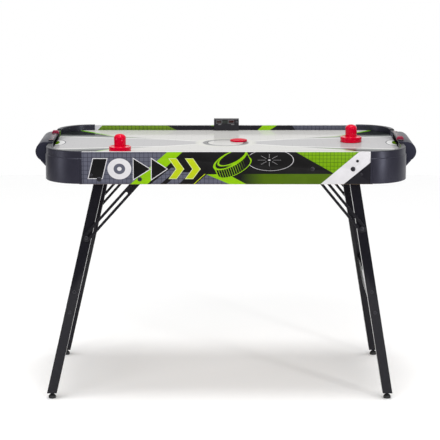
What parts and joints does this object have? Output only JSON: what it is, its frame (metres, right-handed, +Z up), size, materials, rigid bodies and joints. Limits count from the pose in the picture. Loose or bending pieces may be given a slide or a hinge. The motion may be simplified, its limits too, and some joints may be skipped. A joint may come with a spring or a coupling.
{
  "type": "folding air hockey table",
  "caption": "Floor-standing air hockey table with rounded corner caps, half-barrel goals, scoreboard, slotted-brace folding legs, mallets and puck.",
  "frame": {"origin": "on the floor, under the middle of the table", "axes": "+X right along the length, +Y to the back where the scoreboard is, +Z up"},
  "size_m": [1.22, 0.61, 0.8444],
  "materials": {
    "cap_plastic": "dark grey moulded, satin",
    "fan_plastic": "black moulded",
    "field_white": "white laminate, high gloss",
    "hood_plastic": "near black moulded, semi-gloss",
    "leg_paint": "black powder coat",
    "light_plastic": "light grey moulded",
    "printed_board": "printed foil on fibreboard, satin",
    "raw_board": "unpainted fibreboard",
    "red_plastic": "red moulded, glossy",
    "rubber": "black",
    "smoked_window": "smoked window",
    "steel_black": "black plated steel"
  },
  "bodies": {
    "table": {"bottom_panel": "raw_board", "brace_rivet_left_front": "steel_black", "brace_rivet_left_rear": "steel_black", "brace_rivet_right_front": "steel_black", "brace_rivet_right_rear": "steel_black", "chamber_frame": "raw_board", "corner_cap_left_front": "cap_plastic", "corner_cap_left_rear": "cap_plastic", "corner_cap_right_front": "cap_plastic", "corner_cap_right_rear": "cap_plastic", "dc_socket": "fan_plastic", "fan_housing": "fan_plastic", "fan_motor": "steel_black", "front_apron": "printed_board", "goal_hood_left": "hood_plastic", "goal_hood_right": "hood_plastic", "goal_tray_left": "hood_plastic", "goal_tray_right": "hood_plastic", "left_end_rail": "printed_board", "leg_bolt_left_front": "steel_black", "leg_bolt_left_rear": "steel_black", "leg_bolt_right_front": "steel_black", "leg_bolt_right_rear": "steel_black", "playfield": "field_white", "rear_apron": "printed_board", "right_end_rail": "printed_board", "score_rail_left": "hood_plastic", "score_rail_right": "hood_plastic", "scoreboard_housing": "hood_plastic", "scoreboard_window": "smoked_window"},
    "left_leg_set": {"leg_left_front": "leg_paint", "leg_left_rear": "leg_paint", "crossbar_left": "leg_paint", "leg_plug_left_front": "rubber", "leg_plug_left_rear": "rubber"},
    "left_braces": {"brace_left_front": "steel_black", "brace_left_rear": "steel_black"},
    "left_slot_pins": {"slot_pin_left_front": "steel_black", "slot_pin_left_rear": "steel_black"},
    "foot_left_front": {"foot_left_front": "rubber"},
    "foot_left_rear": {"foot_left_rear": "rubber"},
    "right_leg_set": {"leg_right_front": "leg_paint", "leg_right_rear": "leg_paint", "crossbar_right": "leg_paint", "leg_plug_right_front": "rubber", "leg_plug_right_rear": "rubber"},
    "right_braces": {"brace_right_front": "steel_black", "brace_right_rear": "steel_black"},
    "right_slot_pins": {"slot_pin_right_front": "steel_black", "slot_pin_right_rear": "steel_black"},
    "foot_right_front": {"foot_right_front": "rubber"},
    "foot_right_rear": {"foot_right_rear": "rubber"},
    "score_slider_left": {"score_slider_left": "red_plastic"},
    "score_slider_right": {"score_slider_right": "red_plastic"},
    "fan_impeller": {"fan_impeller": "fan_plastic"},
    "power_rocker": {"power_rocker": "fan_plastic"},
    "reset_button": {"reset_button": "light_plastic"},
    "mallet_left": {"mallet_left": "red_plastic"},
    "mallet_right": {"mallet_right": "red_plastic"},
    "puck": {"puck": "red_plastic"}
  },
  "joints": [
    {"name": "leg_fold_left", "type": "hinge", "parent": "table", "child": "left_leg_set", "pos_m": [-0.394, 0, 0.7175], "axis": [0, -1, 0], "range_deg": [0, 103.08]},
    {"name": "brace_swing_left", "type": "hinge", "parent": "table", "child": "left_braces", "pos_m": [-0.268, 0, 0.7175], "axis": [0, -1, 0], "range_deg": [0, 131.86]},
    {"name": "slot_slide_left", "type": "slide", "parent": "left_braces", "child": "left_slot_pins", "axis": [0.6672, 0, 0.7449], "range_m": [0, 0.18601]},
    {"name": "foot_turn_left_front", "type": "hinge", "parent": "left_leg_set", "child": "foot_left_front", "pos_m": [-0.5562, -0.2615, 0.014], "axis": [0, 0, 1], "continuous": true},
    {"name": "foot_turn_left_rear", "type": "hinge", "parent": "left_leg_set", "child": "foot_left_rear", "pos_m": [-0.5562, 0.2615, 0.014], "axis": [0, 0, 1], "continuous": true},
    {"name": "score_slide_left", "type": "slide", "parent": "table", "child": "score_slider_left", "axis": [0, 1, 0], "range_m": [-0.15, 0.034]},
    {"name": "leg_fold_right", "type": "hinge", "parent": "table", "child": "right_leg_set", "pos_m": [0.394, 0, 0.7495], "axis": [0, 1, 0], "range_deg": [0, 99.55]},
    {"name": "brace_swing_right", "type": "hinge", "parent": "table", "child": "right_braces", "pos_m": [0.268, 0, 0.7495], "axis": [0, 1, 0], "range_deg": [0, 129.48]},
    {"name": "slot_slide_right", "type": "slide", "parent": "right_braces", "child": "right_slot_pins", "axis": [-0.6357, 0, 0.772], "range_m": [0, 0.18011]},
    {"name": "foot_turn_right_front", "type": "hinge", "parent": "right_leg_set", "child": "foot_right_front", "pos_m": [0.5168, -0.2615, 0.014], "axis": [0, 0, 1], "continuous": true},
    {"name": "foot_turn_right_rear", "type": "hinge", "parent": "right_leg_set", "child": "foot_right_rear", "pos_m": [0.5168, 0.2615, 0.014], "axis": [0, 0, 1], "continuous": true},
    {"name": "score_slide_right", "type": "slide", "parent": "table", "child": "score_slider_right", "axis": [0, 1, 0], "range_m": [-0.014, 0.17]},
    {"name": "fan_spin", "type": "hinge", "parent": "table", "child": "fan_impeller", "pos_m": [0.2, 0, 0.745], "axis": [0, 0, 1], "continuous": true},
    {"name": "power_switch", "type": "hinge", "parent": "table", "child": "power_rocker", "pos_m": [-0.5645, 0.137, 0.74], "axis": [0, 1, 0], "range_deg": [0, 14]},
    {"name": "reset_press", "type": "slide", "parent": "table", "child": "reset_button", "axis": [0, 1, 0], "range_m": [0, 0.001], "stiffness_N_per_m": 400, "springref_m": -0.0004},
    {"name": "mallet_slide_left", "type": "slide", "parent": "table", "child": "mallet_left", "axis": [0, 1, 0], "range_m": [-0.0615, 0.4455]},
    {"name": "mallet_slide_right", "type": "slide", "parent": "table", "child": "mallet_right", "axis": [0, 1, 0], "range_m": [-0.2735, 0.2335]},
    {"name": "puck_slide", "type": "slide", "parent": "table", "child": "puck", "axis": [1, 0, 0], "range_m": [-0.3103, 0.3014]}
  ],
  "couplings": [
    {"joint": "brace_swing_left", "follows": "leg_fold_left", "ratio": 1.2791},
    {"joint": "slot_slide_left", "follows": "leg_fold_left", "m_per_rad": 0.10338},
    {"joint": "brace_swing_right", "follows": "leg_fold_right", "ratio": 1.3006},
    {"joint": "slot_slide_right", "follows": "leg_fold_right", "m_per_rad": 0.10366}
  ]
}
